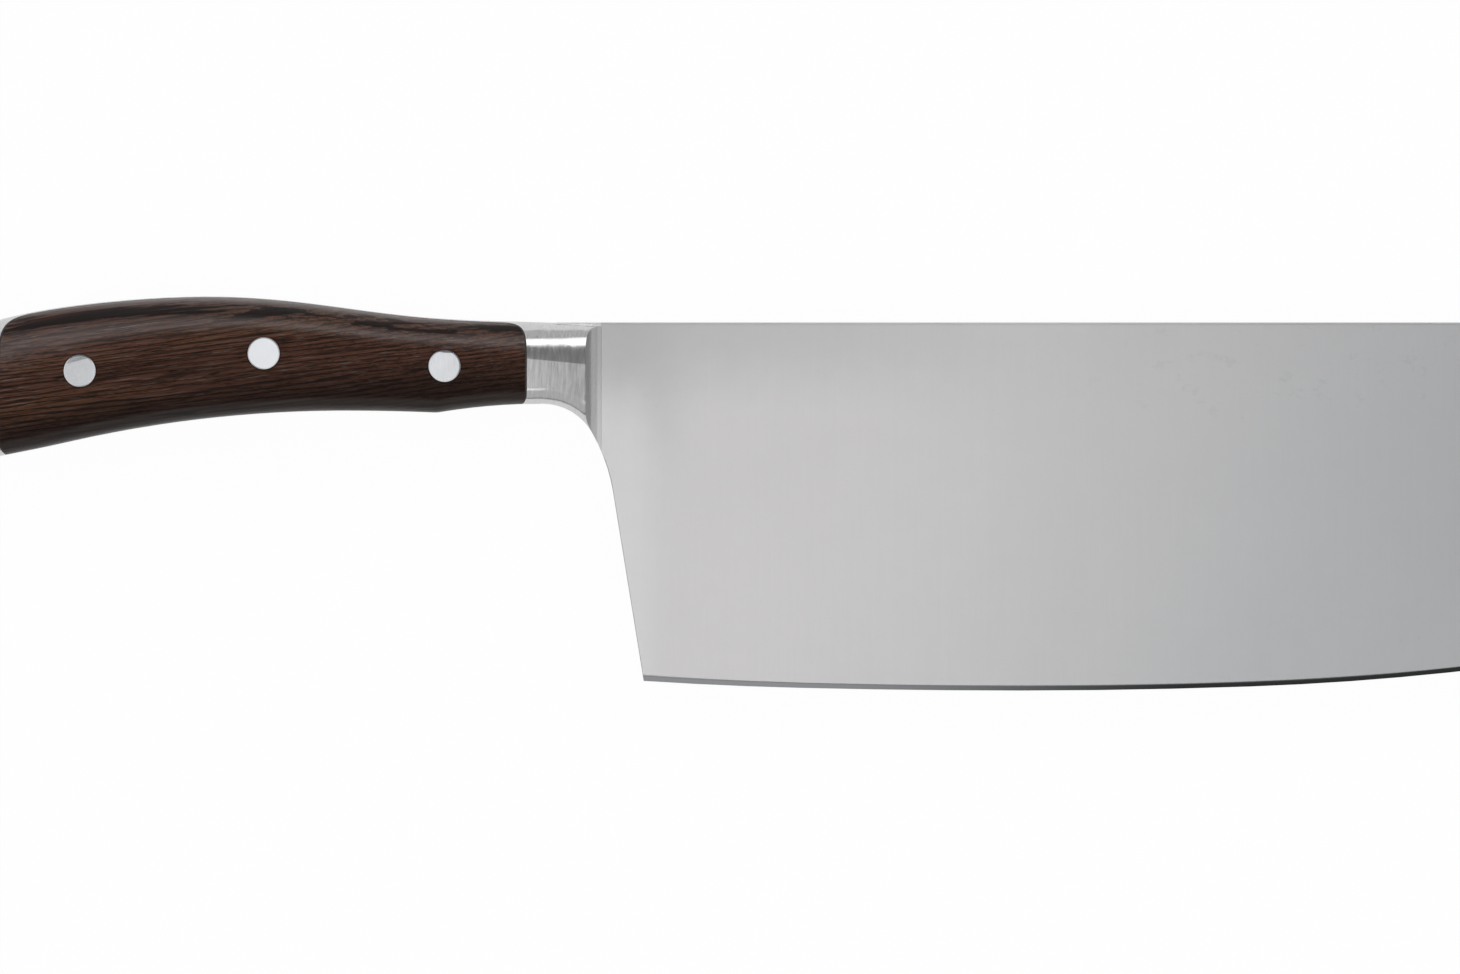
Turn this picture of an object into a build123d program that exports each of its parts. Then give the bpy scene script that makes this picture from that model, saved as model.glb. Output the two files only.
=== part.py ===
"""A forged Chinese cleaver with a full tang, two wooden scales and three rivets.

The knife lies on its side. X runs along it, with the blade towards +X. Y runs up to
the spine. Z is the thickness, and the middle of the steel is level. The origin is
under the middle of the knife, at the height of the lowest point of the handle.
Sizes are in millimetres and angles in degrees.
"""

import os
from math import cos, radians, sin, sqrt, tan

from build123d import *

# Lengths along the knife
blade_length = 180.0
front_bolster_length = 11.5
scale_bay_length = 104.0
rear_bolster_length = 12.5

# Heights of the blade, down from the spine
blade_height = 72.5
heel_rise = 1.9
tip_rise = 4.7
tip_corner_radius = 8.0

# Thicknesses of the blade, over both sides
spine_thickness = 2.8
tip_spine_thickness = 2.5
edge_thickness = 0.55
bevel_angle = 14.0
spine_easing = 0.35
heel_easing = 0.18

# The curve from the underside of the bolster into the heel
neck_depth = 16.0
neck_runout = 3.0
heel_curve_radius = 11.2
heel_curve_turn = 60.0
heel_blend_radius = 34.7
heel_rake = 9.2

# The top and underside of the handle, seen from the side
crown_height = 5.1
crown_runout = 2.6
bolster_rise = 0.05
beak_drop = 1.75
hollow_drop = 1.35
swell_drop = 7.4
butt_drop = 12.1
butt_bulge = 2.0
beak_round = 6.0
underside_round = 3.0
butt_round = 1.2

# Thicknesses of the handle, over both sides
grip_thickness = 18.5
butt_thickness = 17.2
bolster_end_thickness = 9.9
tang_thickness = 3.2

# How deep the rounded top of the handle reaches before its sides are flat
rear_crown_depth = 16.0
middle_crown_depth = 6.6
front_crown_depth = 8.0
crown_stations = 9

# The bays that the scales sit in: their corners in plan, and their lower corners from the side
bedding_thickness = 0.35
front_bay_corner = 5.0
rear_bay_corner = 6.2
lower_bay_corner = 3.4
lower_bay_corner_sink = 1.1

# Rivets: a tubular female half and a solid male half, both flush with the scales
rivet_head_diameter = 6.3
rivet_tube_diameter = 4.0
rivet_pin_diameter = 2.6
rivet_seat_height = 4.4
rivet_end_gap = 0.6
head_clearance = 0.05
tube_clearance = 0.1
pin_clearance = 0.03

# How far cutting shapes run past what they cut, and how far the cove dips below the blade's side
overrun = 5.0
edge_form_margin = 12.0
cove_dip = 0.02

# Places along the blade and the scale bay, as shares of their lengths
belly_low_share = 0.476
belly_heel_share = 0.234
belly_heel_rise_share = 0.28
belly_tip_share = 0.727
belly_tip_rise_share = 0.168
crown_share = 0.386
crown_arc_share = 0.408
widest_share = 0.32
squarest_share = 0.75
swell_share = 0.135
hollow_share = 0.655
beak_share = 0.829

# How far the handles of the crown's curve reach towards its corner: this much makes it elliptical
crown_fullness_share = 0.5523

# Places of the rivets, as shares of the bay's length and of the neck's depth below the spine
rivet_shares = {
    "rear": (0.154, 0.597),
    "middle": (0.502, 0.381),
    "front": (0.844, 0.536),
}

# Places that follow from the sizes
overall_length = rear_bolster_length + scale_bay_length + front_bolster_length + blade_length
tip_x = overall_length / 2
bolster_end_x = tip_x - blade_length
front_joint_x = bolster_end_x - front_bolster_length
rear_joint_x = front_joint_x - scale_bay_length
butt_x = rear_joint_x - rear_bolster_length
spine_y = (blade_height - crown_height) / 2
crown_y = spine_y + crown_height
belly_y = spine_y - blade_height
middle_z = grip_thickness / 2

side_plane = Plane.XY.offset(middle_z)
plan_plane = Plane((0, 0, middle_z), x_dir=(1, 0, 0), z_dir=(0, -1, 0))


def along_bay(share):
    """The X of a place in the scale bay, from its rear end at 0 to its front end at 1."""
    return rear_joint_x + share * scale_bay_length


def below_neck(drop):
    """The Y of a place on the handle's underside, so far below the neck."""
    return spine_y - neck_depth - drop


# The top of the handle in the middle plane: a crown arc and a neck arc, tangent to each other
crown_x = along_bay(crown_share)
crown_end_x = front_joint_x + crown_runout
crown_reach = crown_end_x - crown_x
bolster_y = spine_y + bolster_rise
crown_rise = crown_y - bolster_y
both_radii = (crown_reach**2 + crown_rise**2) / (2 * crown_rise)
crown_radius = crown_arc_share * both_radii
neck_radius = both_radii - crown_radius


def top_of_grip(x):
    """The Y of the handle's top line at x."""
    if x >= crown_end_x:
        return bolster_y
    if x >= crown_x + crown_arc_share * crown_reach:
        return bolster_y + neck_radius - sqrt(neck_radius**2 - (crown_end_x - x) ** 2)
    return crown_y - crown_radius + sqrt(crown_radius**2 - (x - crown_x) ** 2)


# The belly of the edge, seen from the side: tangent arcs each way from its lowest point
low_point = (bolster_end_x + belly_low_share * blade_length, belly_y)
heel_turn_point = (
    bolster_end_x + belly_heel_share * blade_length,
    belly_y + belly_heel_rise_share * heel_rise,
)
tip_turn_point = (
    bolster_end_x + belly_tip_share * blade_length,
    belly_y + belly_tip_rise_share * tip_rise,
)
blend_turn = 90 - heel_rake - heel_curve_turn
heel_corner_x = (
    front_joint_x
    + neck_runout
    + heel_curve_radius * sin(radians(heel_curve_turn))
    + heel_blend_radius * (cos(radians(heel_rake)) - sin(radians(heel_curve_turn)))
    + (
        blade_height
        - heel_rise
        - neck_depth
        - heel_curve_radius * (1 - cos(radians(heel_curve_turn)))
        - heel_blend_radius * (cos(radians(heel_curve_turn)) - sin(radians(heel_rake)))
    )
    * tan(radians(heel_rake))
)
with BuildSketch(side_plane) as above_the_belly:
    with BuildLine():
        tip_side = TangentArc(low_point, tip_turn_point, tangent=(1, 0))
        tip_end = TangentArc(tip_side @ 1, (tip_x, belly_y + tip_rise), tangent=tip_side % 1)
        past_tip = PolarLine(tip_end @ 1, edge_form_margin, direction=tip_end % 1)
        heel_side = TangentArc(low_point, heel_turn_point, tangent=(-1, 0))
        heel_end = TangentArc(
            heel_side @ 1, (heel_corner_x, belly_y + heel_rise), tangent=heel_side % 1
        )
        past_heel = PolarLine(heel_end @ 1, heel_corner_x - rear_joint_x, direction=heel_end % 1)
        Polyline(
            past_tip @ 1,
            ((past_tip @ 1).X, crown_y + edge_form_margin),
            ((past_heel @ 1).X, crown_y + edge_form_margin),
            past_heel @ 1,
        )
    make_face()

# The underside from the butt to the heel, seen from the side, with open space above it
butt_corner_x = butt_x + butt_bulge
neck_point = (front_joint_x + neck_runout, spine_y - neck_depth)
beak_point = (along_bay(beak_share), below_neck(beak_drop))
hollow_point = (along_bay(hollow_share), below_neck(hollow_drop))
swell_point = (along_bay(swell_share), below_neck(swell_drop))
butt_point = (butt_corner_x, below_neck(butt_drop))
with BuildSketch(side_plane) as above_the_underside:
    with BuildLine():
        heel_curve = JernArc(neck_point, (1, 0), heel_curve_radius, -heel_curve_turn)
        heel_blend = JernArc(heel_curve @ 1, heel_curve % 1, heel_blend_radius, -blend_turn)
        heel_line = PolarLine(
            heel_blend @ 1,
            (heel_blend @ 1).Y - belly_y + overrun,
            direction=heel_blend % 1,
            length_mode=LengthMode.VERTICAL,
        )
        TangentArc(neck_point, beak_point, tangent=(-1, 0))
        TangentArc(hollow_point, beak_point, tangent=(1, 0))
        hollow = TangentArc(hollow_point, swell_point, tangent=(-1, 0))
        TangentArc(hollow @ 1, butt_point, tangent=hollow % 1)
        ThreePointArc(
            butt_point,
            (butt_x, (butt_point[1] + crown_y) / 2),
            (butt_corner_x, crown_y),
        )
        Polyline(
            (butt_corner_x, crown_y),
            (butt_corner_x, crown_y + overrun),
            (tip_x + overrun, crown_y + overrun),
            (tip_x + overrun, (heel_line @ 1).Y),
            heel_line @ 1,
        )
    make_face()
    beak_corner = above_the_underside.vertices().sort_by_distance(beak_point)[0]
    fillet(beak_corner, beak_round)

# The handle's outer form: round on top, flat at the sides, one section after another
cove_radius = (bolster_end_thickness - spine_thickness) / 2
cove_end_x = bolster_end_x + cove_radius
bolster_middle_x = (front_joint_x + bolster_end_x) / 2
section_foot_y = spine_y - neck_depth - butt_drop - overrun
first_section_x = butt_x - overrun
section_pitch = (cove_end_x + overrun - first_section_x) / (crown_stations - 1)


def along_grip(x, middle_x, middle_value, butt_value, bolster_value):
    """A size of the handle at x, level at middle_x and changing faster towards each end."""
    end_x = butt_x if x < middle_x else bolster_end_x
    end_value = butt_value if x < middle_x else bolster_value
    reach_share = (x - middle_x) / (end_x - middle_x)
    return middle_value + (end_value - middle_value) * reach_share**2


with BuildPart() as grip_form:
    for station in range(crown_stations):
        x = first_section_x + station * section_pitch
        top = top_of_grip(x)
        half = (
            along_grip(
                x,
                along_bay(widest_share),
                grip_thickness,
                butt_thickness,
                bolster_end_thickness,
            )
            / 2
        )
        depth = along_grip(
            x,
            along_bay(squarest_share),
            middle_crown_depth,
            rear_crown_depth,
            front_crown_depth,
        )
        depth_handle = crown_fullness_share * depth
        width_handle = crown_fullness_share * half
        with BuildSketch(Plane.YZ.offset(x)):
            with BuildLine():
                left_crown = Bezier(
                    (top - depth, middle_z - half),
                    (top - depth + depth_handle, middle_z - half),
                    (top, middle_z - width_handle),
                    (top, middle_z),
                )
                right_crown = Bezier(
                    (top, middle_z),
                    (top, middle_z + width_handle),
                    (top - depth + depth_handle, middle_z + half),
                    (top - depth, middle_z + half),
                )
                Polyline(
                    right_crown @ 1,
                    (section_foot_y, middle_z + half),
                    (section_foot_y, middle_z - half),
                    left_crown @ 0,
                )
            make_face()
    loft()
    extrude(above_the_underside.sketch, amount=grip_thickness, both=True, mode=Mode.INTERSECT)
    underside_edges = (
        grip_form.edges()
        .filter_by(GeomType.LINE, reverse=True)
        .filter_by(lambda edge: butt_corner_x < edge.center().X < bolster_end_x + cove_radius / 2)
        .filter_by(lambda edge: edge.center().Y < neck_point[1])
    )
    fillet(underside_edges, underside_round)
    butt_face = grip_form.faces().sort_by(Axis.X)[0]
    fillet(butt_face.edges(), butt_round)
    split(bisect_by=Plane.YZ.offset(cove_end_x), keep=Keep.BOTTOM)


def bay_outline(gap):
    """The plan of the bay beside the tang on the upper side, drawn in by gap from the steel."""
    rear_x = rear_joint_x + gap
    front_x = front_joint_x - gap
    floor = tang_thickness / 2 + gap
    with BuildSketch(plan_plane) as outline:
        with BuildLine():
            walls = FilletPolyline(
                (rear_x, grip_thickness),
                (rear_x, floor),
                (front_x, floor),
                (front_x, grip_thickness),
                radius=[rear_bay_corner - gap, front_bay_corner - gap],
            )
            Line(walls @ 1, walls @ 0)
        make_face()
    return outline.sketch


def bay_side(gap):
    """The bay from the side. The rounds of its lower corners dip a little below the handle."""
    with BuildSketch(side_plane) as outline:
        add(above_the_underside.sketch.moved(Location((0, gap - lower_bay_corner_sink, 0))))
        with Locations((rear_joint_x + gap, crown_y + overrun)):
            Rectangle(
                scale_bay_length - 2 * gap,
                blade_height,
                align=(Align.MIN, Align.MAX),
                mode=Mode.INTERSECT,
            )
        ends = outline.vertices().group_by(Axis.X)
        lower_corners = [ends[0].sort_by(Axis.Y)[0], ends[-1].sort_by(Axis.Y)[0]]
        fillet(lower_corners, lower_bay_corner - gap)
    return outline.sketch


def bay(gap):
    """The room for the upper scale, drawn in by gap from the steel."""
    with BuildPart() as room:
        extrude(bay_outline(gap), amount=overall_length, both=True)
        extrude(bay_side(gap), amount=grip_thickness, both=True, mode=Mode.INTERSECT)
    return room.part


def drill(radius, low, high):
    """Cut the three rivet holes of one radius from low to high, both measured from the middle."""
    with BuildSketch(side_plane.offset(low)) as holes:
        with Locations(*rivet_centres.values()):
            Circle(radius)
    extrude(holes.sketch, amount=high - low, mode=Mode.SUBTRACT)


rivet_centres = {
    name: (along_bay(share), spine_y - depth_share * neck_depth)
    for name, (share, depth_share) in rivet_shares.items()
}
tube_radius = rivet_tube_diameter / 2
head_radius = rivet_head_diameter / 2
pin_radius = rivet_pin_diameter / 2

# The right scale faces up
with BuildPart() as scale_right:
    add(grip_form.part)
    add(bay(bedding_thickness), mode=Mode.INTERSECT)
    drill(tube_radius + tube_clearance, 0, grip_thickness)
    drill(head_radius + head_clearance, rivet_seat_height, grip_thickness)
scale_right.part.label = "scale_right"

# The left scale is its mirror image
with BuildPart() as scale_left:
    mirror(scale_right.part, about=side_plane)
scale_left.part.label = "scale_left"

# The bedding fills the bay behind and beside each scale
with BuildPart() as bedding_right:
    add(grip_form.part)
    add(bay(0), mode=Mode.INTERSECT)
    add(bay(bedding_thickness), mode=Mode.SUBTRACT)
    drill(tube_radius + tube_clearance, 0, grip_thickness)
bedding_right.part.label = "bedding_right"

with BuildPart() as bedding_left:
    mirror(bedding_right.part, about=side_plane)
bedding_left.part.label = "bedding_left"

# The blade's right side slopes from the spine to the edge, and a little towards the tip
blade_side = Plane(
    (bolster_end_x, spine_y, middle_z + spine_thickness / 2),
    x_dir=(blade_length, 0, (tip_spine_thickness - spine_thickness) / 2),
    z_dir=Vector(blade_length, 0, (tip_spine_thickness - spine_thickness) / 2).cross(
        Vector(0, blade_height, (spine_thickness - edge_thickness) / 2)
    ),
)

# Seen from the side, the blade starts inside the bolster
with BuildSketch(side_plane) as blade_outline:
    add(above_the_underside.sketch)
    with Locations((bolster_middle_x, spine_y)):
        Rectangle(
            tip_x - bolster_middle_x,
            blade_height + overrun,
            align=(Align.MIN, Align.MAX),
            mode=Mode.INTERSECT,
        )

# The upper half of the blade, with its eased spine and heel, ground edge and round tip corner
with BuildPart() as blade_half:
    extrude(blade_outline.sketch, amount=spine_thickness)
    split(bisect_by=blade_side, keep=Keep.BOTTOM)
    side_edges = blade_half.faces().filter_by(blade_side).edges()
    fillet(side_edges.sort_by(Axis.Y)[-1], spine_easing)
    side_edges = blade_half.faces().filter_by(blade_side).edges()
    heel_edges = side_edges.filter_by(
        lambda edge: edge.center().X < heel_corner_x and edge.center().Y < neck_point[1]
    )
    fillet(heel_edges, heel_easing)
    extrude(
        above_the_belly.sketch,
        amount=spine_thickness,
        taper=90 - bevel_angle,
        mode=Mode.INTERSECT,
    )
    with BuildSketch(side_plane):
        with Locations((tip_x - tip_corner_radius, spine_y - tip_corner_radius)):
            Rectangle(
                tip_corner_radius + overrun,
                tip_corner_radius + overrun,
                align=(Align.MIN, Align.MIN),
            )
            Circle(tip_corner_radius, mode=Mode.SUBTRACT)
    extrude(amount=spine_thickness, mode=Mode.SUBTRACT)

with BuildPart() as blade:
    add(blade_half.part)
    mirror(blade_half.part, about=side_plane)

# The plan of the cove, on a plane that follows the blade's side down from the spine
down_the_blade = Vector(1, 0, 0).cross(blade_side.z_dir)
cove_plane = Plane((0, spine_y, middle_z), x_dir=(1, 0, 0), z_dir=down_the_blade)
cove_floor = spine_thickness / 2 - cove_dip
with BuildSketch(cove_plane) as cove_outline:
    with BuildLine():
        cove = RadiusArc(
            (bolster_end_x, cove_floor + cove_radius),
            (cove_end_x, cove_floor),
            -cove_radius,
        )
        Polyline(
            cove @ 1,
            (cove_end_x + overrun, cove_floor),
            (cove_end_x + overrun, grip_thickness),
            (bolster_end_x, grip_thickness),
            cove @ 0,
        )
    make_face()

# The forging is the steel of the handle, the cove on both sides and the blade
with BuildPart() as blade_forging:
    add(grip_form.part)
    add(bay(0), mode=Mode.SUBTRACT)
    mirror(bay(0), about=side_plane, mode=Mode.SUBTRACT)
    right_cove = extrude(cove_outline.sketch, amount=blade_height, both=True, mode=Mode.SUBTRACT)
    mirror(right_cove, about=side_plane, mode=Mode.SUBTRACT)
    add(blade.part)
    drill(tube_radius + tube_clearance, -tang_thickness, tang_thickness)
blade_forging.part.label = "blade_forging"


def rivet_half(name, centre, sign, core_radius, core_end, bore_radius):
    """One half of a rivet: a head flush with the scale, and a shank or tube from its seat."""
    with BuildPart() as half:
        seat = side_plane.offset(sign * rivet_seat_height)
        with BuildSketch(seat) as head_outline:
            with Locations(centre):
                Circle(head_radius)
        extrude(head_outline.sketch, amount=sign * grip_thickness)
        add(grip_form.part, mode=Mode.INTERSECT)
        with BuildSketch(seat) as core_outline:
            with Locations(centre):
                Circle(core_radius)
        extrude(core_outline.sketch, amount=-sign * (rivet_seat_height + core_end))
        if bore_radius:
            with BuildSketch(seat) as bore_outline:
                with Locations(centre):
                    Circle(bore_radius)
            extrude(
                bore_outline.sketch,
                amount=-sign * (rivet_seat_height + core_end),
                mode=Mode.SUBTRACT,
            )
    half.part.label = name
    return half.part


# The female half lies on the left, with its tube reaching nearly to the male head
rivets = []
for name, centre in rivet_centres.items():
    reach = rivet_seat_height - rivet_end_gap
    rivets.append(
        rivet_half(f"rivet_{name}_female", centre, -1, tube_radius, reach, pin_radius + pin_clearance)
    )
    rivets.append(rivet_half(f"rivet_{name}_male", centre, 1, pin_radius, reach, 0))

os.makedirs("parts", exist_ok=True)
pieces = [
    blade_forging.part,
    scale_right.part,
    scale_left.part,
    bedding_right.part,
    bedding_left.part,
    *rivets,
]
for piece in pieces:
    export_step(piece, f"parts/{piece.label}.step")
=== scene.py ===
"""Finishes, studio light and camera for a packed forged cleaver that lies on a white table."""

from math import cos, pi, radians, sin

import bpy
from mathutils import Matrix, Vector


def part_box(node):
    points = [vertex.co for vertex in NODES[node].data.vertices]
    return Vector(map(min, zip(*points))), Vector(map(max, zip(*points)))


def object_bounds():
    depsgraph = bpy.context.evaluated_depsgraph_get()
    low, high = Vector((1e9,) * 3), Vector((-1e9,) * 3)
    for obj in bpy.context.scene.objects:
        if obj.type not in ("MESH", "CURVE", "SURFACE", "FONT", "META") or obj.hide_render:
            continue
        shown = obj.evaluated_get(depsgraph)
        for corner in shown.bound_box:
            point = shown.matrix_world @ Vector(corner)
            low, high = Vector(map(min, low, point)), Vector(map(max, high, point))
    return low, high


bl_info = {
    "name": "Forged Cleaver",
    "version": (1, 0, 0),
    "blender": (4, 5, 0),
    "location": "View3D > Sidebar > Cleaver",
    "description": "Finishes a forged cleaver and sets its studio",
    "category": "Object",
}

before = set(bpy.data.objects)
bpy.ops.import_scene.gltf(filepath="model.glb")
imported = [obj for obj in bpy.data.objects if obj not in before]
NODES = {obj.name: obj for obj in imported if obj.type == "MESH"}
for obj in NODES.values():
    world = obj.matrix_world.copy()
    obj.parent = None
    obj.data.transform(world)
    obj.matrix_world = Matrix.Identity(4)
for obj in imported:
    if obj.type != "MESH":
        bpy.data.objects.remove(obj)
cad_low, cad_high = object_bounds()

# Places read from the frame, in metres
FORGING_LOW, FORGING_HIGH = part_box("blade_forging")
MIDDLE_Z = (FORGING_LOW[2] + FORGING_HIGH[2]) / 2
RIVET_PLACES = ("rear", "middle", "front")
RIVET_CENTRES = [
    tuple((low + high) / 2 for low, high in zip(*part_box(f"rivet_{place}_male")))
    for place in RIVET_PLACES
]
RIVET_RADIUS = (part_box("rivet_front_male")[1][0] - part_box("rivet_front_male")[0][0]) / 2

MM = 0.001
SPINE_Y = 33.7 * MM
BOLSTER_END_X = -26.0 * MM
LOW_X = 59.68 * MM

# The cutting edge rises from LOW_X by these shares of the distance's square and fourth power,
# in millimetres. Towards the tip it rises by the second pair too.
EDGE_RISE = (2.4417e-4, 1.877e-8)
EDGE_RISE_TO_TIP = (1.0e-4, 1.95e-9)

# The underside of the handle is a shallow curve with its highest point here, and bends down from
# it by this share of the distance's square, in millimetres
UNDERSIDE_X = -45 * MM
UNDERSIDE_Y = 17.7 * MM
UNDERSIDE_BEND = 0.0011

# Zones of the forging's finish and of the light and shade painted into its colour, from where each
# begins to where it is complete: the cove's end and the heel get a painted highlight, and the
# corner, the band at the spine, the edge and the tip get painted shade. The first four are
# measured from the bolster's end, and the depths from the spine.
BLADE_FINISH = (0.3 * MM, 3.0 * MM)
COVE_HIGHLIGHT_RISE = (0.8 * MM, 2.7 * MM)
COVE_HIGHLIGHT_FALL = (3.3 * MM, 2.9 * MM)
HEEL_HIGHLIGHT = (17 * MM, 8 * MM)
HEEL_HIGHLIGHT_DEPTH = (6 * MM, 22 * MM)
CORNER_SHADE_LENGTH = 8 * MM
CORNER_SHADE_DEPTH = (34 * MM, 10 * MM)
SPINE_SHADE_FADE_X = (-5 * MM, 70 * MM)
EDGE_SHADE_FADE_X = (10 * MM, 95 * MM)
STAIN_X = (55 * MM, 95 * MM)
STAIN_Y = (8 * MM, 20 * MM)
TIP_SHADE_START = 10 * MM
TIP_SHADE_PAST_END = 15 * MM

# Sizes of the patterns in the steel, along X, Y and Z
BROAD_SIZE = (30 * MM, 26 * MM, 40 * MM)
MOTTLE_SIZE = (5 * MM, 3.5 * MM, 6 * MM)
SPECK_SIZE = (0.9 * MM, 0.7 * MM, 2 * MM)
RIVET_LINE_SIZE = (0.16 * MM, 2.8 * MM, 0.3 * MM)
RIVET_CLOUD_SIZE = (2.6 * MM, 2.2 * MM, 2 * MM)

# Patterns in the wood: length along the grain, width across it, and a shift of the pattern
LAYER_SIZE = (90 * MM, 6 * MM, (0.011, 0.002, 0.0))
THREAD_SIZE = (24 * MM, 0.7 * MM, (0.0, 0.004, 0.0))
BROAD_GRAIN_SIZE = (60 * MM, 8 * MM, (0.02, 0.0, 0.001))
FIBRE_SIZE = (7 * MM, 0.26 * MM, (0.002, 0.0, 0.004))
STREAK_SIZE = (30 * MM, 2.0 * MM, (0.007, 0.0, 0.002))
UNDERSIDE_SHADE_DEPTH = (10.5 * MM, 2.0 * MM)
RING_REACH = (0.32 * MM, 0.05 * MM)

# Patterns in the bedding and the table
LUMP_SIZE = (0.3 * MM, 0.3 * MM, 0.3 * MM)
SMEAR_SIZE = (1.5 * MM, 1.5 * MM, 1.5 * MM)
TABLE_GRAIN_SIZE = (4 * MM, 4 * MM, 4 * MM)

# The studio, in metres
TABLE_HALF = 3.0
TABLE_GAP = 0.02 * MM
TABLE_IN_REFLECTIONS = 0.6
WHITE = (1.0, 1.0, 1.0, 1.0)
WALLS = (0.22, 0.22, 0.225, 1.0)
STRIP_TILT, STRIP_AWAY = radians(48.0), 1.2
SOFTBOXES = (
    # name, centre, size, radiance
    ("overhead_rear", (-0.545, -0.08, 1.7), (0.91, 0.64), 1.27),
    ("overhead_front", (0.095, -0.10, 1.7), (0.37, 0.60), 1.33),
    ("overhead_tip", (0.94, -0.10, 1.7), (1.32, 0.60), 0.50),
    (
        "spine_strip",
        (0.0, STRIP_AWAY * sin(STRIP_TILT), STRIP_AWAY * cos(STRIP_TILT)),
        (1.7, 0.42),
        1.75,
    ),
    ("spine_side", (0.0, 1.5, 0.36), (2.6, 0.7), 0.36),
    ("tip_side", (1.456, 0.0, 0.664), (2.0, 1.2), 0.32),
    ("edge_side", (0.0, -1.5, 0.08), (2.6, 0.16), 0.7),
    ("edge_sky", (0.0, -1.09, 1.14), (2.6, 1.9), 0.36),
)
SENSOR_WIDTH = 36.0
CLIP = (0.01, 20.0)


class Socket:
    """A number coming out of a node. Python's operators on it add Math nodes."""

    def __init__(self, tree, output):
        self.tree, self.output = tree, output

    def maths(self, operation, *values):
        inputs = dict(enumerate(values))
        node = self.tree.node("ShaderNodeMath", {"operation": operation}, inputs)
        return Socket(self.tree, node.outputs[0])

    def __add__(self, other):
        return self.maths("ADD", self, other)

    def __radd__(self, other):
        return self.maths("ADD", other, self)

    def __sub__(self, other):
        return self.maths("SUBTRACT", self, other)

    def __rsub__(self, other):
        return self.maths("SUBTRACT", other, self)

    def __mul__(self, other):
        return self.maths("MULTIPLY", self, other)

    def __rmul__(self, other):
        return self.maths("MULTIPLY", other, self)

    def __truediv__(self, other):
        return self.maths("DIVIDE", self, other)

    def __pow__(self, other):
        return self.maths("POWER", self, other)

    def __abs__(self):
        return self.maths("ABSOLUTE", self)

    def least(self, other):
        return self.maths("MINIMUM", self, other)

    def most(self, other):
        return self.maths("MAXIMUM", self, other)


class Graph:
    """A node tree under construction."""

    def __init__(self, tree):
        self.nodes, self.links = tree.nodes, tree.links
        self.nodes.clear()

    def node(self, kind, settings=None, values=None):
        """One node: its settings first, then the value or the link of each socket."""
        made = self.nodes.new(kind)
        for name, value in (settings or {}).items():
            if name == "stops":
                self.set_stops(made.color_ramp, value)
            else:
                setattr(made, name, value)
        for key, value in (values or {}).items():
            if isinstance(value, Socket):
                value = value.output
            if isinstance(value, bpy.types.NodeSocket):
                self.links.new(value, made.inputs[key])
            else:
                made.inputs[key].default_value = value
        return made

    def set_stops(self, ramp, stops):
        while len(ramp.elements) < len(stops):
            ramp.elements.new(1.0)
        for element, (position, colour) in zip(ramp.elements, stops):
            element.position = position
            element.color = (*colour[:3], 1.0)


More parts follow.
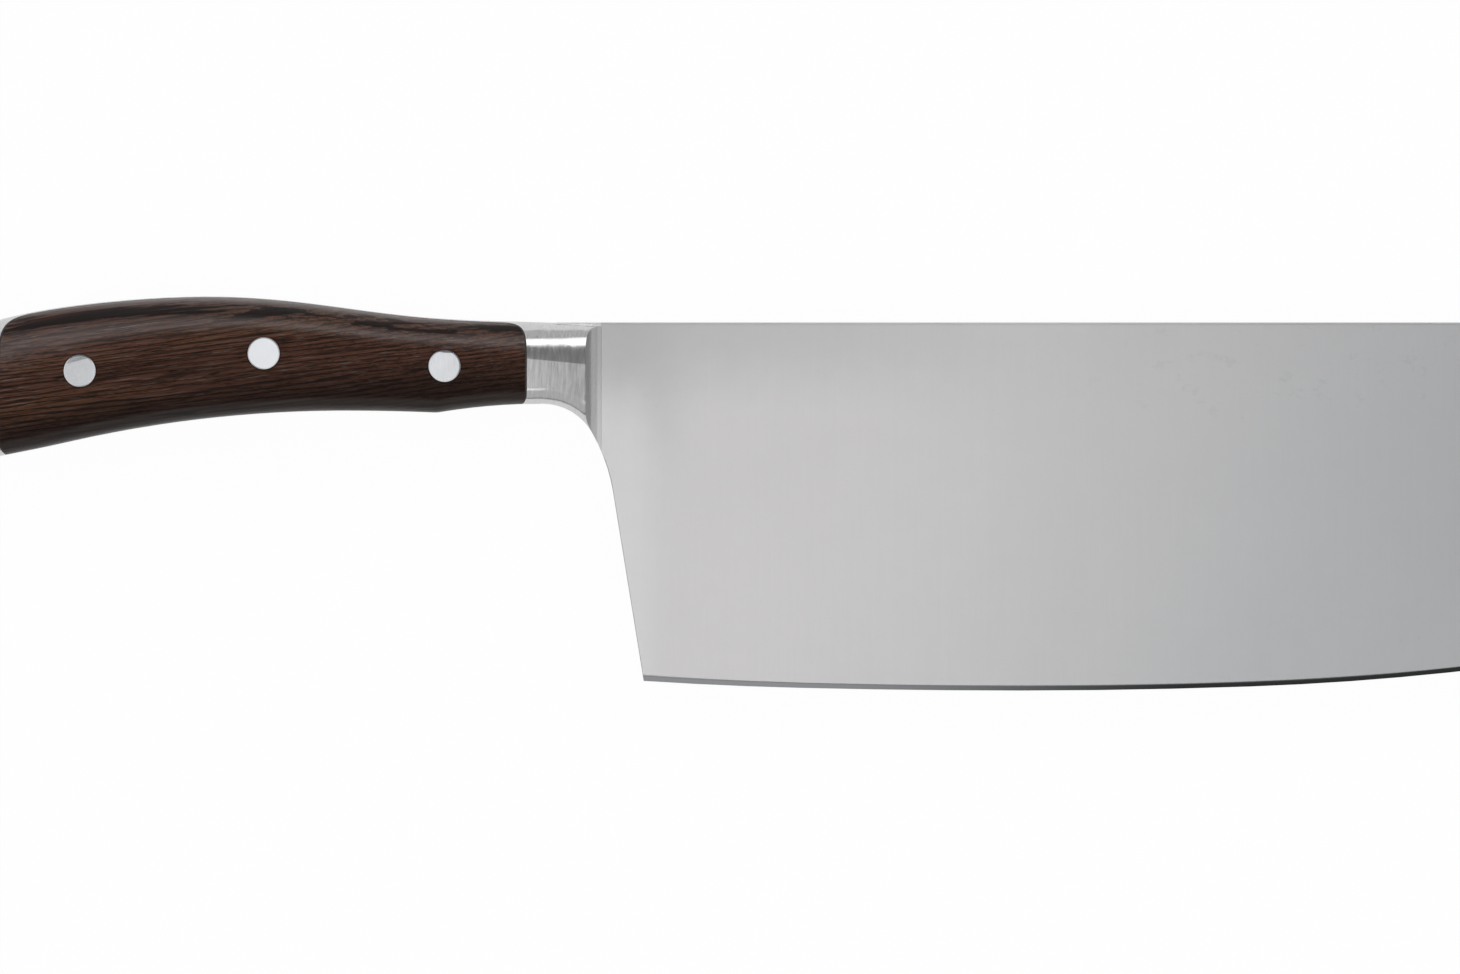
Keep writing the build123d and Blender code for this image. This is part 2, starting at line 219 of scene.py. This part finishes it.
class Finish(Graph):
    """A material under construction: one Principled shader and the nodes that feed it."""

    def __init__(self, name):
        self.material = bpy.data.materials.new(name)
        self.material.use_nodes = True
        super().__init__(self.material.node_tree)
        self.shader = self.node("ShaderNodeBsdfPrincipled")
        surface = {"Surface": self.shader.outputs[0]}
        self.output = self.node("ShaderNodeOutputMaterial", {}, surface)
        coordinates = self.node("ShaderNodeTexCoord").outputs
        self.place = coordinates["Object"]
        self.x, self.y, _ = self.parts_of(self.place)
        self.facing = self.parts_of(coordinates["Normal"])

    def parts_of(self, vector):
        """The three numbers of a vector."""
        node = self.node("ShaderNodeSeparateXYZ", {}, {0: vector})
        return [Socket(self, output) for output in node.outputs]

    def noise(self, place, detail, roughness, distortion=0.0):
        """Soft noise about one unit across."""
        values = {
            "Vector": place,
            "Scale": 1.0,
            "Detail": detail,
            "Roughness": roughness,
            "Distortion": distortion,
        }
        return Socket(self, self.node("ShaderNodeTexNoise", {}, values).outputs[0])

    def cells(self, place):
        """Distance to the nearest of scattered points about one unit apart."""
        values = {"Vector": place, "Scale": 1.0, "Randomness": 1.0}
        return Socket(self, self.node("ShaderNodeTexVoronoi", {}, values).outputs["Distance"])

    def stretched(self, lengths, turn=0.0, shift=(0.0, 0.0, 0.0)):
        """Object coordinates turned about Z, then counted in a length along each axis."""
        turned = self.node(
            "ShaderNodeMapping",
            {"vector_type": "POINT"},
            {"Vector": self.place, "Location": shift, "Rotation": (0.0, 0.0, turn)},
        )
        scale = tuple(1.0 / length for length in lengths)
        scaled = self.node(
            "ShaderNodeVectorMath", {"operation": "MULTIPLY"}, {0: turned.outputs[0], 1: scale}
        )
        return scaled.outputs[0]

    def step(self, value, low, high):
        """0 below low, 1 above high, and smooth between them. Low may be the larger."""
        flip = low > high
        values = {0: value, 1: min(low, high), 2: max(low, high)}
        values.update({3: float(flip), 4: float(not flip)})
        node = self.node("ShaderNodeMapRange", {"interpolation_type": "SMOOTHSTEP"}, values)
        return Socket(self, node.outputs[0])

    def past_bolster(self, low, high):
        """The same along X, measured from the bolster's end."""
        return self.step(self.x, BOLSTER_END_X + low, BOLSTER_END_X + high)

    def blend(self, share, first, second, kind="MIX"):
        """A colour between two colours."""
        settings = {"data_type": "RGBA", "blend_type": kind, "clamp_factor": True}
        values = {0: share, 6: colour(first), 7: colour(second)}
        return self.node("ShaderNodeMix", settings, values).outputs[2]

    def ramp(self, value, stops):
        return self.node("ShaderNodeValToRGB", {"stops": stops}, {0: value}).outputs[0]

    def bump(self, height, distance, strength):
        values = {"Height": height, "Distance": distance, "Strength": strength}
        return self.node("ShaderNodeBump", {}, values).outputs[0]

    def feed(self, **sockets):
        """Set or link the shader's own sockets. An underscore stands for a space."""
        for key, value in sockets.items():
            socket = self.shader.inputs[key.replace("_", " ")]
            if isinstance(value, Socket):
                value = value.output
            if isinstance(value, bpy.types.NodeSocket):
                self.links.new(value, socket)
            else:
                socket.default_value = colour(value)


def colour(value):
    """A colour with its fourth number, or anything else as it is."""
    if isinstance(value, bpy.types.NodeSocket):
        return value
    if hasattr(value, "__len__") and len(value) == 3:
        return (*value, 1.0)
    return value


def dimmed(value, share):
    """A colour with all its numbers changed by one factor."""
    return [part * share for part in value]


def dress(names, material):
    """Give CAD nodes a finish through their material slots."""
    for name in names:
        slots = NODES[name].data.materials
        slots.clear()
        slots.append(material)


class SteelSettings(bpy.types.PropertyGroup):
    """Sizes and colours of the forging's finish, and of the light and shade painted into its
    colour.
    """

    blade_colour: bpy.props.FloatVectorProperty(
        name="Blade colour",
        description="Colour of the satin steel on the blade",
        subtype="COLOR",
        default=(0.632, 0.620, 0.625),
    )
    # Painted shade: the satin steel's colour darkens towards the tip, with a slight greenish tint
    tip_shade_colour: bpy.props.FloatVectorProperty(
        name="Tip colour",
        description="Colour that the satin steel takes towards the end of the blade",
        subtype="COLOR",
        default=(0.464, 0.478, 0.481),
    )
    # Painted shade: the darker band along the spine
    spine_shade_colour: bpy.props.FloatVectorProperty(
        name="Top band colour",
        description="Colour of the darker band along the spine",
        subtype="COLOR",
        default=(0.530, 0.530, 0.534),
    )
    # Painted highlight: the lighter zone behind the heel, painted into the satin steel's colour
    heel_highlight_colour: bpy.props.FloatVectorProperty(
        name="Heel zone colour",
        description="Colour of the lighter ground zone behind the heel",
        subtype="COLOR",
        default=(0.700, 0.705, 0.710),
    )
    bolster_colour: bpy.props.FloatVectorProperty(
        name="Bolster colour",
        description="Colour of the finer polished steel on both bolsters",
        subtype="COLOR",
        default=(0.64, 0.64, 0.637),
    )
    # Painted shade: the edge's darker colour stands in for the bevel's dark reflection
    edge_shade_colour: bpy.props.FloatVectorProperty(
        name="Edge colour",
        description="Colour of the freshly ground cutting edge",
        subtype="COLOR",
        default=(0.42, 0.43, 0.44),
    )
    blade_roughness: bpy.props.FloatProperty(
        name="Blade roughness", description="Satin of the blade", default=0.33, min=0.0, max=1.0
    )
    bolster_roughness: bpy.props.FloatProperty(
        name="Bolster roughness",
        description="Satin of the bolsters",
        default=0.19,
        min=0.0,
        max=1.0,
    )
    scratch_width: bpy.props.FloatProperty(
        name="Scratch width",
        description="Width of one brushed line",
        subtype="DISTANCE",
        default=0.16 * MM,
    )
    scratch_length: bpy.props.FloatProperty(
        name="Scratch length",
        description="Length of one brushed line on the blade",
        subtype="DISTANCE",
        default=14 * MM,
    )
    # Painted shade: the height of the darker band below the spine
    spine_shade_height: bpy.props.FloatProperty(
        name="Top band height",
        description="Height of the darker band below the spine",
        subtype="DISTANCE",
        default=12 * MM,
    )
    edge_height: bpy.props.FloatProperty(
        name="Edge height",
        description="Height of the ground bevel above the cutting edge",
        subtype="DISTANCE",
        default=1.0 * MM,
    )


class WoodSettings(bpy.types.PropertyGroup):
    """Sizes and colours of the hardwood scales."""

    dark_colour: bpy.props.FloatVectorProperty(
        name="Dark colour",
        description="Colour of the late wood, nearly black",
        subtype="COLOR",
        default=(0.0085, 0.0048, 0.0038),
    )
    middle_colour: bpy.props.FloatVectorProperty(
        name="Middle colour",
        description="Colour of most of the wood",
        subtype="COLOR",
        default=(0.0640, 0.0275, 0.0175),
    )
    light_colour: bpy.props.FloatVectorProperty(
        name="Light colour",
        description="Colour of the lightest wood",
        subtype="COLOR",
        default=(0.112, 0.055, 0.038),
    )
    ochre_colour: bpy.props.FloatVectorProperty(
        name="Ochre colour",
        description="Colour of the warmer patches",
        subtype="COLOR",
        default=(0.092, 0.041, 0.019),
    )
    # Painted shade: the reddish-black colour of the streaks on the shoulder of the crown
    streak_shade_colour: bpy.props.FloatVectorProperty(
        name="Streak colour",
        description="Colour of the reddish streaks on the shoulder of the crown",
        subtype="COLOR",
        default=(0.030, 0.0075, 0.0050),
    )
    # Painted glints: pale strokes that stand in for light caught by the fibres
    glint_colour: bpy.props.FloatVectorProperty(
        name="Fibre colour",
        description="Colour of the pale fibres that catch the light",
        subtype="COLOR",
        default=(0.15, 0.13, 0.12),
    )
    line_pitch: bpy.props.FloatProperty(
        name="Line pitch",
        description="Distance between the dark lines of the grain",
        subtype="DISTANCE",
        default=0.95 * MM,
    )
    grain_turn: bpy.props.FloatProperty(
        name="Grain turn",
        description="How far the grain rises towards the blade",
        subtype="ANGLE",
        default=radians(7.2),
    )
    pore_length: bpy.props.FloatProperty(
        name="Pore length",
        description="Length of one open pore",
        subtype="DISTANCE",
        default=2.4 * MM,
    )
    pore_width: bpy.props.FloatProperty(
        name="Pore width",
        description="Width of one open pore",
        subtype="DISTANCE",
        default=0.16 * MM,
    )
    roughness: bpy.props.FloatProperty(
        name="Roughness", description="Sheen of the oiled sides", default=0.6, min=0.0, max=1.0
    )
    polish: bpy.props.FloatProperty(
        name="Polish",
        description="Extra gloss of the top and underside, which the hand has polished",
        default=0.95,
        min=0.0,
        max=1.0,
    )
    specular: bpy.props.FloatProperty(
        name="Specular",
        description="Strength of the wood's sheen",
        default=0.08,
        min=0.0,
        max=1.0,
    )


class RivetSettings(bpy.types.PropertyGroup):
    """Sizes and colours of the rivets and the bedding."""

    rivet_colour: bpy.props.FloatVectorProperty(
        name="Rivet colour",
        description="Colour of the polished rivet heads",
        subtype="COLOR",
        default=(0.505, 0.515, 0.528),
    )
    rim_width: bpy.props.FloatProperty(
        name="Rim width",
        description="Width of the eased rim round each head",
        subtype="DISTANCE",
        default=0.22 * MM,
    )
    bedding_colour: bpy.props.FloatVectorProperty(
        name="Bedding colour",
        description="Colour of the dark adhesive line",
        subtype="COLOR",
        default=(0.012, 0.010, 0.009),
    )


class StudioSettings(bpy.types.PropertyGroup):
    """The table, the lights and the camera."""

    table_colour: bpy.props.FloatVectorProperty(
        name="Table colour",
        description="Colour of the pale table",
        subtype="COLOR",
        default=(0.93, 0.93, 0.93),
    )
    table_white: bpy.props.FloatProperty(
        name="Table white",
        description="How far the table shows plain white instead of its shading",
        default=0.97,
        min=0.0,
        max=1.0,
    )
    view_width: bpy.props.FloatProperty(
        name="View width",
        description="Width of what the camera sees, at the blade",
        subtype="DISTANCE",
        default=287.6 * MM,
    )
    view_centre: bpy.props.FloatVectorProperty(
        name="View centre",
        description="Middle of what the camera sees",
        subtype="TRANSLATION",
        size=2,
        default=(2.44 * MM, 1.30 * MM),
    )
    camera_height: bpy.props.FloatProperty(
        name="Camera height",
        description="Height of the camera above the table",
        subtype="DISTANCE",
        default=6.0,
    )


class CLEAVER_OT_forging(bpy.types.Operator):
    """Finish the steel forging: satin blade, ground edge and polished bolsters, with light and
    shade painted into the colour
    """

    bl_idname = "cleaver.forging"
    bl_label = "Finish Forging"

    def execute(self, context):
        steel = context.scene.cleaver_steel
        f = Finish("blade_steel")

        # Brushed lines run from the spine to the edge on the blade, and across the bolsters
        width, length = steel.scratch_width, steel.scratch_length
        fine = f.noise(f.stretched((width, length, width * 4)), detail=3.0, roughness=0.65)
        short = f.noise(
            f.stretched((width * 2, length * 0.3, width * 4), turn=0.06), detail=3.0, roughness=0.7
        )
        coarse = f.noise(
            f.stretched((width * 9, length * 3, width * 9)), detail=2.0, roughness=0.5
        )
        broad = f.noise(f.stretched(BROAD_SIZE), detail=2.0, roughness=0.5)
        mottle = f.noise(f.stretched(MOTTLE_SIZE), detail=4.0, roughness=0.7)
        specks = f.noise(f.stretched(SPECK_SIZE), detail=1.0, roughness=0.5)

        # Painted light and shade in the steel's colour: painted shade in a band at the spine, a
        # painted highlight behind the heel, painted shade in the corner above it, a painted
        # highlight at the end of the cove, and painted shade that darkens towards the tip
        on_blade = f.past_bolster(*BLADE_FINISH)
        below_spine = SPINE_Y - f.y + (mottle - 0.5) * (3 * MM)
        # Painted shade in a band below the spine, fading towards the tip
        band = f.step(below_spine, steel.spine_shade_height * 1.6, steel.spine_shade_height * 0.1)
        band = band * (1.0 - f.step(f.x, *SPINE_SHADE_FADE_X) * 0.7)
        heel_start, heel_end = HEEL_HIGHLIGHT
        # A painted highlight behind the heel
        heel_painted_highlight = f.step(
            f.x + (fine - 0.5) * MM, BOLSTER_END_X + heel_start, BOLSTER_END_X + heel_end
        )
        heel_painted_highlight = heel_painted_highlight * f.step(below_spine, *HEEL_HIGHLIGHT_DEPTH)
        # Painted shade that darkens the blade towards the tip
        tip_painted_shade = f.step(
            f.x - f.y * 0.5, TIP_SHADE_START, FORGING_HIGH[0] + TIP_SHADE_PAST_END
        )
        # Painted shade in the corner above the heel, next to the bolster and the spine
        corner = f.step(f.x, 0.0, BOLSTER_END_X + CORNER_SHADE_LENGTH)
        corner = corner * f.step(below_spine, *CORNER_SHADE_DEPTH)
        cove_painted_highlight = f.past_bolster(*COVE_HIGHLIGHT_RISE) * f.past_bolster(*COVE_HIGHLIGHT_FALL)

        satin = f.blend(tip_painted_shade, steel.blade_colour, steel.tip_shade_colour)
        satin = f.blend(band, satin, steel.spine_shade_colour)
        satin = f.blend(corner * 0.5, satin, dimmed(steel.spine_shade_colour, 0.8))
        satin = f.blend(heel_painted_highlight * 0.6, satin, steel.heel_highlight_colour)
        steel_colour = f.blend(on_blade, steel.bolster_colour, satin)

        # Painted shade on the ground edge: its darker colour stands in for the bevel's dark
        # reflection, grows darker towards the tip, and ends under a crisp darker painted line
        height = height_above_edge(f)
        edge = f.step(height, steel.edge_height * 1.08, steel.edge_height * 0.95) * on_blade
        edge_shade_line = f.step(abs(height - steel.edge_height), 0.16 * MM, 0.0) * on_blade
        edge_shade_fade = f.step(f.x, *EDGE_SHADE_FADE_X)
        edge_shade_colour = f.blend(edge_shade_fade, steel.edge_shade_colour, dimmed(steel.edge_shade_colour, 0.05))
        steel_colour = f.blend(edge * 0.95, steel_colour, edge_shade_colour)
        steel_colour = f.blend(edge_shade_line * 0.45, steel_colour, dimmed(steel.edge_shade_colour, 0.3))

        # Faint stains on the upper front of the blade, brushed lines and broad clouds
        marked = f.step(f.x, *STAIN_X) * f.step(f.y, *STAIN_Y)
        stains = f.step(mottle, 0.56, 0.70) * marked * 0.07 + f.step(specks, 0.74, 0.80) * 0.05
        lines = (fine - 0.5) * 0.05 + (coarse - 0.5) * 0.025
        lines = lines + (short - 0.5) * (1.0 - on_blade) * 0.5
        tone = 1.0 + lines + (broad - 0.5) * 0.05 + (mottle - 0.5) * 0.03
        # A painted highlight: the end of the cove is painted up to 30 % brighter
        tone = tone - stains + cove_painted_highlight * 0.30
        grey = f.node("ShaderNodeCombineXYZ", {}, {0: tone, 1: tone, 2: tone}).outputs[0]
        f.feed(
            Base_Color=f.blend(1.0, steel_colour, grey, "MULTIPLY"),
            Metallic=1.0,
            Roughness=steel.bolster_roughness
            + on_blade * (steel.blade_roughness - steel.bolster_roughness)
            - edge * 0.1
            + (fine - 0.5) * 0.08
            + (short - 0.5) * (1.0 - on_blade) * 0.2,
            Normal=f.bump(fine * on_blade + short * (1.0 - on_blade), 0.006 * MM, 0.5),
        )
        dress(["blade_forging"], f.material)
        return {"FINISHED"}


class CLEAVER_OT_scales(bpy.types.Operator):
    """Finish the two hardwood scales with grain, pores and an oiled sheen, plus painted shade and
    painted glints
    """

    bl_idname = "cleaver.scales"
    bl_label = "Finish Scales"

    def execute(self, context):
        wood = context.scene.cleaver_wood
        f = Finish("dark_hardwood")
        turn = -wood.grain_turn

        def grained(along, across, shift):
            return f.stretched((along, across, across), turn, shift)

        # Growth layers wander a little along the grain, and dark lines follow them
        layers = f.noise(grained(*LAYER_SIZE), detail=3.0, roughness=0.55, distortion=0.3)
        threads = f.noise(grained(*THREAD_SIZE), detail=4.0, roughness=0.65, distortion=0.2)
        broad = f.noise(grained(*BROAD_GRAIN_SIZE), detail=2.0, roughness=0.5)
        across = f.parts_of(grained(1.0, 1.0, (0.0, 0.0, 0.0)))[1]
        count = across / wood.line_pitch + layers * 4.0 + threads * 1.2
        lines = f.step(abs(count.maths("FRACT", count) - 0.5), 0.20, 0.13)
        lines = lines * f.step(broad + threads, 0.66, 0.92)
        tone = 0.06 + threads * 0.50 + layers * 0.38 + (broad - 0.5) * 0.20
        wood_colour = f.ramp(
            tone,
            [
                (0.30, wood.dark_colour),
                (0.40, dimmed(wood.middle_colour, 0.95)),
                (0.53, dimmed(wood.middle_colour, 1.3)),
                (0.68, wood.light_colour),
            ],
        )
        warm = f.step(broad, 0.50, 0.66)
        wood_colour = f.blend(warm * 0.5, wood_colour, wood.ochre_colour)
        wood_colour = f.blend(lines * 0.75, wood_colour, wood.dark_colour)

        # Single fibres: dark ones, and pale strokes that are painted glints
        fibres = f.noise(grained(*FIBRE_SIZE), detail=2.0, roughness=0.6)
        wood_colour = f.blend(f.step(fibres, 0.46, 0.36) * 0.7, wood_colour, wood.dark_colour)
        wood_colour = f.blend(f.step(fibres, 0.60, 0.70) * 0.45, wood_colour, wood.glint_colour)

        # Near-black streaks in the grain, with painted shade along the shoulder of the crown: the
        # streaks gather there and turn reddish-black only there
        streaks = f.noise(grained(*STREAK_SIZE), detail=3.0, roughness=0.6, distortion=0.5)
        shoulder = f.step(f.facing[1], 0.50, 0.66) * f.step(f.facing[1], 0.95, 0.82)
        streak_and_shade = f.step(streaks + shoulder * 0.20, 0.64, 0.71)
        reddish = f.step(layers, 0.50, 0.58) * shoulder
        streak_shade_colour = f.blend(
            reddish * 0.8, dimmed(wood.dark_colour, 0.6), wood.streak_shade_colour
        )
        wood_colour = f.blend(streak_and_shade * 0.92, wood_colour, streak_shade_colour)

        # Painted shade: the lower side is darker towards the underside
        reach = (f.x - UNDERSIDE_X) / MM
        above_underside = f.y - UNDERSIDE_Y + reach * reach * UNDERSIDE_BEND * MM
        underside_shade = f.step(above_underside, *UNDERSIDE_SHADE_DEPTH)
        wood_colour = f.blend(underside_shade * 0.82, wood_colour, dimmed(wood.dark_colour, 0.5))

        # The hand has polished the top, and the underside a little less
        polished = f.step(abs(f.facing[1]), 0.06, 0.34)
        polished = polished * (1.0 - f.step(f.facing[1], 0.0, -0.3) * 0.25)

        # Open pores: short dark grooves along the grain
        pore = f.cells(grained(wood.pore_length, wood.pore_width, (0.0, 0.0, 0.0)))
        long_pore = f.cells(
            grained(wood.pore_length * 2.2, wood.pore_width * 1.6, (0.003, 0.001, 0.0))
        )
        open_pore = f.step(pore, 0.34, 0.16).most(f.step(long_pore, 0.30, 0.14))
        open_pore = open_pore * f.step(threads, 0.62, 0.46)
        wood_colour = f.blend(open_pore * 0.75, wood_colour, dimmed(wood.dark_colour, 0.45))

        # A dark line of polish and dust round each rivet head
        outer, inner = RING_REACH
        ring = f.step(rivet_distance(f), RIVET_RADIUS + outer, RIVET_RADIUS + inner)
        wood_colour = f.blend(ring * 0.7, wood_colour, dimmed(wood.dark_colour, 0.4))

        # Less coat on the shoulder and the streaks keeps the painted shade there dark
        dulled = 1.0 - shoulder * 0.6 - streak_and_shade * 0.2
        f.feed(
            Base_Color=wood_colour,
            Roughness=wood.roughness + open_pore * 0.2 + (threads - 0.5) * 0.12,
            Coat_Weight=polished * wood.polish * (0.5 + threads) * dulled,
            Coat_Roughness=0.34,
            Normal=f.bump(
                threads * 0.35 + layers * 0.3 - open_pore * 0.8 - ring * 0.6, 0.05 * MM, 0.6
            ),
            Specular_IOR_Level=wood.specular,
        )
        dress(["scale_right", "scale_left"], f.material)
        return {"FINISHED"}


class CLEAVER_OT_bedding(bpy.types.Operator):
    """Finish the dark adhesive between the scales and the steel"""

    bl_idname = "cleaver.bedding"
    bl_label = "Finish Bedding"

    def execute(self, context):
        rivets = context.scene.cleaver_rivets
        f = Finish("scale_adhesive")
        lumps = f.noise(f.stretched(LUMP_SIZE), detail=2.0, roughness=0.6)
        smear = f.noise(f.stretched(SMEAR_SIZE), detail=2.0, roughness=0.5)
        f.feed(
            Base_Color=f.blend(
                smear, rivets.bedding_colour, dimmed(rivets.bedding_colour, 2.2)
            ),
            Roughness=0.42 + lumps * 0.2,
            Normal=f.bump(lumps, 0.02 * MM, 0.4),
        )
        dress(["bedding_right", "bedding_left"], f.material)
        return {"FINISHED"}


class CLEAVER_OT_rivets(bpy.types.Operator):
    """Finish the rivets: polished heads with a thin eased rim"""

    bl_idname = "cleaver.rivets"
    bl_label = "Finish Rivets"

    def execute(self, context):
        rivets = context.scene.cleaver_rivets
        f = Finish("rivet_steel")
        lines = f.noise(f.stretched(RIVET_LINE_SIZE), detail=3.0, roughness=0.6)
        cloud = f.noise(f.stretched(RIVET_CLOUD_SIZE), detail=1.0, roughness=0.5)
        radius = rivet_distance(f)
        # Painted shade: the eased rim and a thin line at its inner edge are painted darker,
        # standing in for the rim's dark reflection; the rim's shape is bumped in too
        rim = f.step(radius, RIVET_RADIUS - rivets.rim_width, RIVET_RADIUS - 0.02 * MM)
        line = f.step(abs(radius - (RIVET_RADIUS - rivets.rim_width)), 0.09 * MM, 0.0)
        f.feed(
            Base_Color=f.blend(
                rim * 0.6 + line * 0.25,
                rivets.rivet_colour,
                dimmed(rivets.rivet_colour, 0.45),
            ),
            Metallic=1.0,
            Roughness=0.10 + (lines - 0.5) * 0.08 + cloud * 0.04,
            Normal=f.bump(lines * 0.15 - rim * 0.5, 0.04 * MM, 0.5),
        )
        halves = ("male", "female")
        names = [f"rivet_{place}_{half}" for place in RIVET_PLACES for half in halves]
        dress(names, f.material)
        return {"FINISHED"}


class CLEAVER_OT_studio(bpy.types.Operator):
    """Set the table, the lights and the camera"""

    bl_idname = "cleaver.studio"
    bl_label = "Set Studio"

    def execute(self, context):
        studio = context.scene.cleaver_studio
        self.lay_table(studio)
        self.hang_lights()
        self.light_world(context.scene)
        self.aim_camera(context.scene, studio)
        context.scene.view_settings.view_transform = "Standard"
        return {"FINISHED"}

    @staticmethod
    def lay_table(studio):
        half, top = TABLE_HALF, cad_low[2] - TABLE_GAP
        mesh = bpy.data.meshes.new("table")
        corners = [(-half, -half, top), (half, -half, top), (half, half, top), (-half, half, top)]
        mesh.from_pydata(corners, [], [(0, 1, 2, 3)])
        table = bpy.data.objects.new("table", mesh)
        bpy.context.scene.collection.objects.link(table)

        f = Finish("table_white")
        grain = f.noise(f.stretched(TABLE_GRAIN_SIZE), detail=3.0, roughness=0.6)
        f.feed(
            Base_Color=f.blend(
                grain * 0.04, studio.table_colour, dimmed(studio.table_colour, 0.96)
            ),
            Roughness=0.8,
            Specular_IOR_Level=0.2,
        )
        rays = f.node("ShaderNodeLightPath")
        seen = Socket(f, rays.outputs["Is Camera Ray"]).most(
            Socket(f, rays.outputs["Is Transmission Ray"])
        )
        glossy = Socket(f, rays.outputs["Is Glossy Ray"])
        white = f.node("ShaderNodeEmission", {}, {"Color": WHITE, "Strength": 1.0})
        mixed = f.node(
            "ShaderNodeMixShader",
            {},
            {
                0: (seen * studio.table_white).most(glossy * TABLE_IN_REFLECTIONS),
                1: f.shader.outputs[0],
                2: white.outputs[0],
            },
        )
        f.links.new(mixed.outputs[0], f.output.inputs["Surface"])
        mesh.materials.append(f.material)

    @staticmethod
    def softbox(name, centre, size, radiance, glossy=True):
        """A square-cornered softbox of a given radiance, facing the origin."""
        lamp = bpy.data.lights.new(name, "AREA")
        lamp.shape = "RECTANGLE"
        lamp.size, lamp.size_y = size
        lamp.energy = radiance * pi * size[0] * size[1]
        box = bpy.data.objects.new(name, lamp)
        bpy.context.scene.collection.objects.link(box)
        box.location = centre
        box.rotation_mode = "QUATERNION"
        box.rotation_quaternion = (Vector() - box.location).to_track_quat("-Z", "Y")
        box.visible_camera = False
        box.visible_glossy = glossy

    def hang_lights(self):
        for settings in SOFTBOXES:
            self.softbox(*settings)
        self.softbox("fill", (0.0, 0.2, 2.2), (3.0, 3.0), 0.55, glossy=False)

    @staticmethod
    def light_world(scene):
        world = bpy.data.worlds.new("studio_walls")
        scene.world = world
        world.use_nodes = True
        g = Graph(world.node_tree)
        rays = g.node("ShaderNodeLightPath")
        walls = g.node("ShaderNodeBackground", {}, {"Color": WALLS})
        white = g.node("ShaderNodeBackground", {}, {"Color": WHITE})
        mixed = g.node(
            "ShaderNodeMixShader",
            {},
            {0: rays.outputs["Is Camera Ray"], 1: walls.outputs[0], 2: white.outputs[0]},
        )
        g.node("ShaderNodeOutputWorld", {}, {"Surface": mixed.outputs[0]})

    @staticmethod
    def aim_camera(scene, studio):
        data = bpy.data.cameras.new("camera")
        camera = bpy.data.objects.new("camera", data)
        scene.collection.objects.link(camera)
        camera.location = (*studio.view_centre, studio.camera_height)
        data.sensor_width = SENSOR_WIDTH
        data.lens = data.sensor_width * (studio.camera_height - MIDDLE_Z) / studio.view_width
        data.clip_start, data.clip_end = CLIP
        scene.camera = camera


def height_above_edge(f):
    """How far a place is above the cutting edge, whose two sides rise from its lowest point."""
    away = (f.x - LOW_X) / MM
    squared = away * away
    steep = f.step(f.x, LOW_X - 0.01 * MM, LOW_X + 0.01 * MM)
    square, fourth = (
        share + steep * more for share, more in zip(EDGE_RISE, EDGE_RISE_TO_TIP)
    )
    rise = squared * square + squared * squared * fourth
    return f.y - FORGING_LOW[1] - rise * MM


def rivet_distance(f):
    """How far a place is from the nearest rivet's axis, seen from the side."""
    nearest = None
    for x, y, _ in RIVET_CENTRES:
        squared = (f.x - x) * (f.x - x) + (f.y - y) * (f.y - y)
        nearest = squared if nearest is None else nearest.least(squared)
    return nearest**0.5


class CLEAVER_PT_panel(bpy.types.Panel):
    """The cleaver's sizes, colours and steps"""

    bl_label = "Forged Cleaver"
    bl_idname = "CLEAVER_PT_panel"
    bl_space_type = "VIEW_3D"
    bl_region_type = "UI"
    bl_category = "Cleaver"

    def draw(self, context):
        for operator, group in STEPS:
            box = self.layout.box()
            if group:
                settings = getattr(context.scene, group)
                for name in settings.__annotations__:
                    box.prop(settings, name)
            box.operator(operator)


STEPS = (
    ("cleaver.forging", "cleaver_steel"),
    ("cleaver.scales", "cleaver_wood"),
    ("cleaver.bedding", None),
    ("cleaver.rivets", "cleaver_rivets"),
    ("cleaver.studio", "cleaver_studio"),
)
GROUPS = {
    "cleaver_steel": SteelSettings,
    "cleaver_wood": WoodSettings,
    "cleaver_rivets": RivetSettings,
    "cleaver_studio": StudioSettings,
}
CLASSES = (
    *GROUPS.values(),
    CLEAVER_OT_forging,
    CLEAVER_OT_scales,
    CLEAVER_OT_bedding,
    CLEAVER_OT_rivets,
    CLEAVER_OT_studio,
    CLEAVER_PT_panel,
)


def register():
    for cls in CLASSES:
        bpy.utils.register_class(cls)
    for name, group in GROUPS.items():
        setattr(bpy.types.Scene, name, bpy.props.PointerProperty(type=group))


def unregister():
    for name in GROUPS:
        delattr(bpy.types.Scene, name)
    for cls in reversed(CLASSES):
        bpy.utils.unregister_class(cls)


def main():
    register()
    bpy.ops.cleaver.forging()
    bpy.ops.cleaver.scales()
    bpy.ops.cleaver.bedding()
    bpy.ops.cleaver.rivets()
    bpy.ops.cleaver.studio()


if __name__ == "__main__":
    main()
